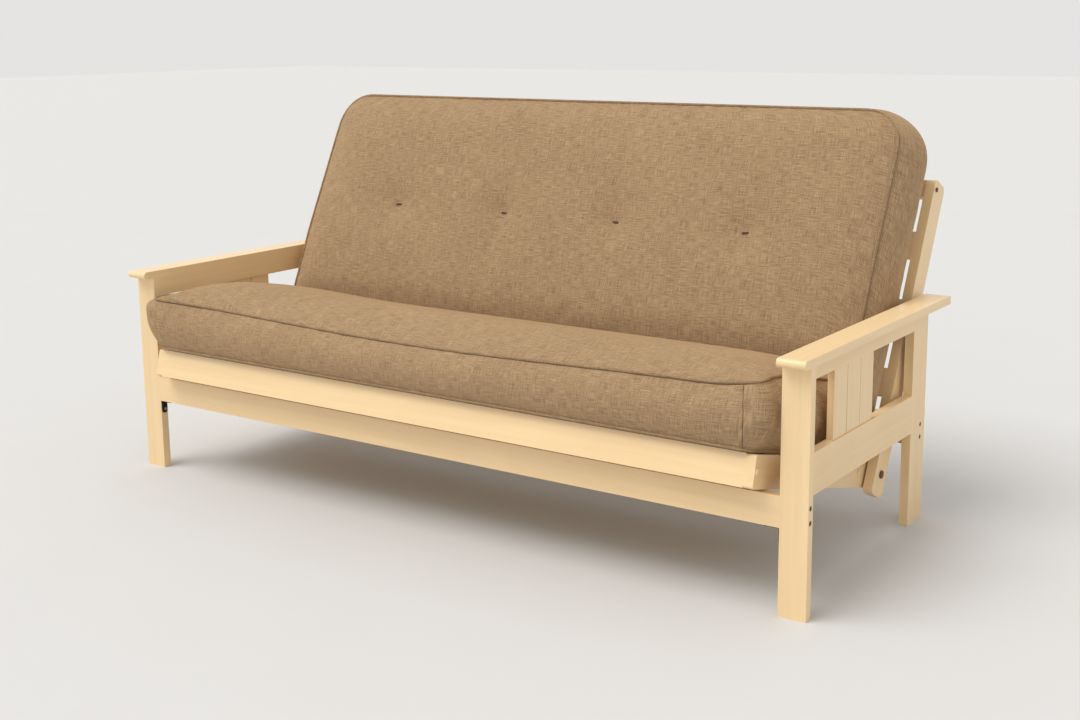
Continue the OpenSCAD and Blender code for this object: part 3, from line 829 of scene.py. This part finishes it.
# %% Tuft threads
def thread_finish():
    paint = Paint("tuft_thread")
    twist = paint.noise(paint.place((1, 1, 1)), 1500.0, 2.0)
    return paint.finish(paint.mix(twist, (0.055, 0.022, 0.011), (0.110, 0.050, 0.026)),
                        0.6 + 0.15 * twist, paint.bump(twist, 0.0004, 0.6))


thread = thread_finish()


def tuft_stitch(name, place, inward, body, tilt):
    """Four arches of thread side by side, with their ends in the cover."""
    inward3 = np.array([0.0, *inward])
    up = np.array([0.0, -inward[1], inward[0]])
    across = math.cos(tilt) * np.array([1.0, 0, 0]) + math.sin(tilt) * up
    beside = np.cross(across, inward3)
    for k in range(4):
        turns = np.linspace(-0.3, math.pi + 0.3, 15)
        path = [np.array(place) + across * (0.0115 - 0.0010 * (k % 2)) * math.cos(a)
                + beside * 0.0012 * (k - 1.5) * (1 - 0.25 * math.cos(a) ** 2)
                - inward3 * (0.0042 * math.sin(a) + 0.0004) for a in turns]
        part = swept_tube(f"{name}_{k + 1}", path, 0.0010, thread, closed=False, sides=8)
        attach(part, body)


points = np.array([v.co for v in mattress.data.vertices])
for n, low in enumerate(tuft_lows):
    tuft_stitch(f"tuft_{n + 1}", points[low], into_back, "back_deck", 0.12 * math.sin(2.3 * n + 1))
print(len(tufts), "tufts tied")

# %% [markdown]
# ## Joins in the boxing
#
# The boxing strip is one long length of cloth whose ends meet near the seat's right front
# corner. The join is an upright seam: a shallow fold pressed flat, drawn as a thin welt in the
# dark seam linen, which paints the shadow in the fold. It runs straight down however far the
# strip bulges.

# %% Boxing seams
SEAM_X, SEAM_TURN, SEAM_RADIUS = 0.903, 0.5, 0.0007


def boxing_seam(name, ring_place, body):
    front_run = [n for n, (i, j) in enumerate(ring_index) if i == 0 and j > N_COL // 2]
    start, column = points[strips[0][ring_place]], []
    for strip in strips:
        run = points[strip[front_run]]
        run = run[np.argsort(run[:, 0])]
        ahead = start[1] - np.interp(start[0], run[:, 0], run[:, 1])
        x = start[0] + SEAM_TURN * ahead
        column.append(np.array([x] + [np.interp(x, run[:, 0], run[:, k]) for k in (1, 2)]))
    out = bulge[ring_place] / np.linalg.norm(bulge[ring_place])
    fine = []
    for a, b in zip(column[:-1], column[1:]):
        fine += [a, (a + b) / 2]
    fine = np.array(fine + [column[-1]]) + 0.0002 * out
    # The welt's dark linen is painted shadow of the fold.
    seam = swept_tube(name, fine, SEAM_RADIUS, painted_seam_shadow, closed=False, sides=8)
    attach(seam, body)
    return seam


def ring_nearest(x, row):
    """The place on the ring that is nearest to this x and close to this row."""
    found = [n for n, (i, j) in enumerate(ring_index) if abs(i - row) < 7]
    return min(found, key=lambda n: abs(points[top_ring[n]][0] - x))


boxing_seam("boxing_seam", ring_nearest(SEAM_X, 0), "seat_deck")
print("the boxing strip is joined near the seat's right corner")

# %% [markdown]
# ## Plugs over the deck bolts
#
# The deck's bolts sit in counterbores in the outer faces of the seat rails. A low domed
# wooden plug closes each hole and is painted with the frame.

# %% Plugs
def domed_plug(name, centre, side, radius, rise, material):
    """A low dome turned about X, with a short straight rim."""
    profile = [(radius, 0.0), (radius, 0.35 * rise), (0.94 * radius, 0.7 * rise),
               (0.75 * radius, 0.9 * rise), (0.4 * radius, 0.985 * rise)]
    turns, points_, polygons = 40, [], []
    for r, h in profile:
        for k in range(turns):
            a = 2 * math.pi * k / turns
            points_.append((centre[0] + side * h, centre[1] + r * math.cos(a),
                            centre[2] + r * math.sin(a)))
    points_.append((centre[0] + side * rise, centre[1], centre[2]))
    for i in range(len(profile) - 1):
        for k in range(turns):
            q = (k + 1) % turns
            face = [i * turns + k, i * turns + q, (i + 1) * turns + q, (i + 1) * turns + k]
            polygons.append(face if side > 0 else face[::-1])
    last = (len(profile) - 1) * turns
    for k in range(turns):
        face = [last + k, last + (k + 1) % turns, len(points_) - 1]
        polygons.append(face if side > 0 else face[::-1])
    plug = make_mesh(name, points_, polygons, material)
    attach(plug, "seat_deck")
    return plug


PLUG_RADIUS, PLUG_RISE = 0.0085, 0.0034
RAIL_FRONT, RAIL_REAR, BOARD = 0.657, 0.060, 0.023     # ends of the deck, board thickness
seat_rail_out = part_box("seat_side_rail_right")[1][0]
for side, hand in ((1, "right"), (-1, "left")):
    for along, end in ((RAIL_FRONT - BOARD / 2, "front"), (RAIL_REAR + BOARD / 2, "rear")):
        y, z = on_seat(along, 0.0)
        domed_plug(f"bolt_plug_{end}_{hand}", (side * seat_rail_out, y, z), side,
                   PLUG_RADIUS, PLUG_RISE, paint_seat)
print("four plugs on the seat rails")

# %% [markdown]
# ## Floor and light
#
# A pale studio: a matt floor that runs on behind the sofa, one very wide soft light from the
# upper left in front, and a bright surround that opens the shadows. The floor's grey is chosen
# so that it ends up as bright as the surround and hardly shows where it stops.

# %% Floor
def floor_finish():
    paint = Paint("studio_floor")
    speck = paint.noise(paint.place((1, 1, 1)), 3.0, 2.0)
    return paint.finish(paint.mix(speck, (0.620, 0.616, 0.610), (0.640, 0.636, 0.630)), 0.7)


floor = make_mesh("floor", [(-30, -30, 0), (30, -30, 0), (30, 30, 0), (-30, 30, 0)],
                  [[0, 1, 2, 3]], floor_finish(), smooth=False)
print("a floor under the feet at z = 0")

# %% Light
world = bpy.data.worlds.new("studio")
bpy.context.scene.world = world
world.use_nodes = True
world.node_tree.nodes["Background"].inputs[0].default_value = (1.0, 0.99, 0.975, 1)
world.node_tree.nodes["Background"].inputs[1].default_value = 0.78


sun_data = bpy.data.lights.new("key", "SUN")
sun_data.energy, sun_data.angle, sun_data.color = 1.9, math.radians(40), (1.0, 0.985, 0.96)
sun = bpy.data.objects.new("key", sun_data)
bpy.context.collection.objects.link(sun)
sun.rotation_euler = Vector((0.30, 0.42, -0.86)).to_track_quat("-Z", "Y").to_euler()
bpy.context.scene.view_settings.view_transform = "Standard"
print("one wide soft key and a bright surround")
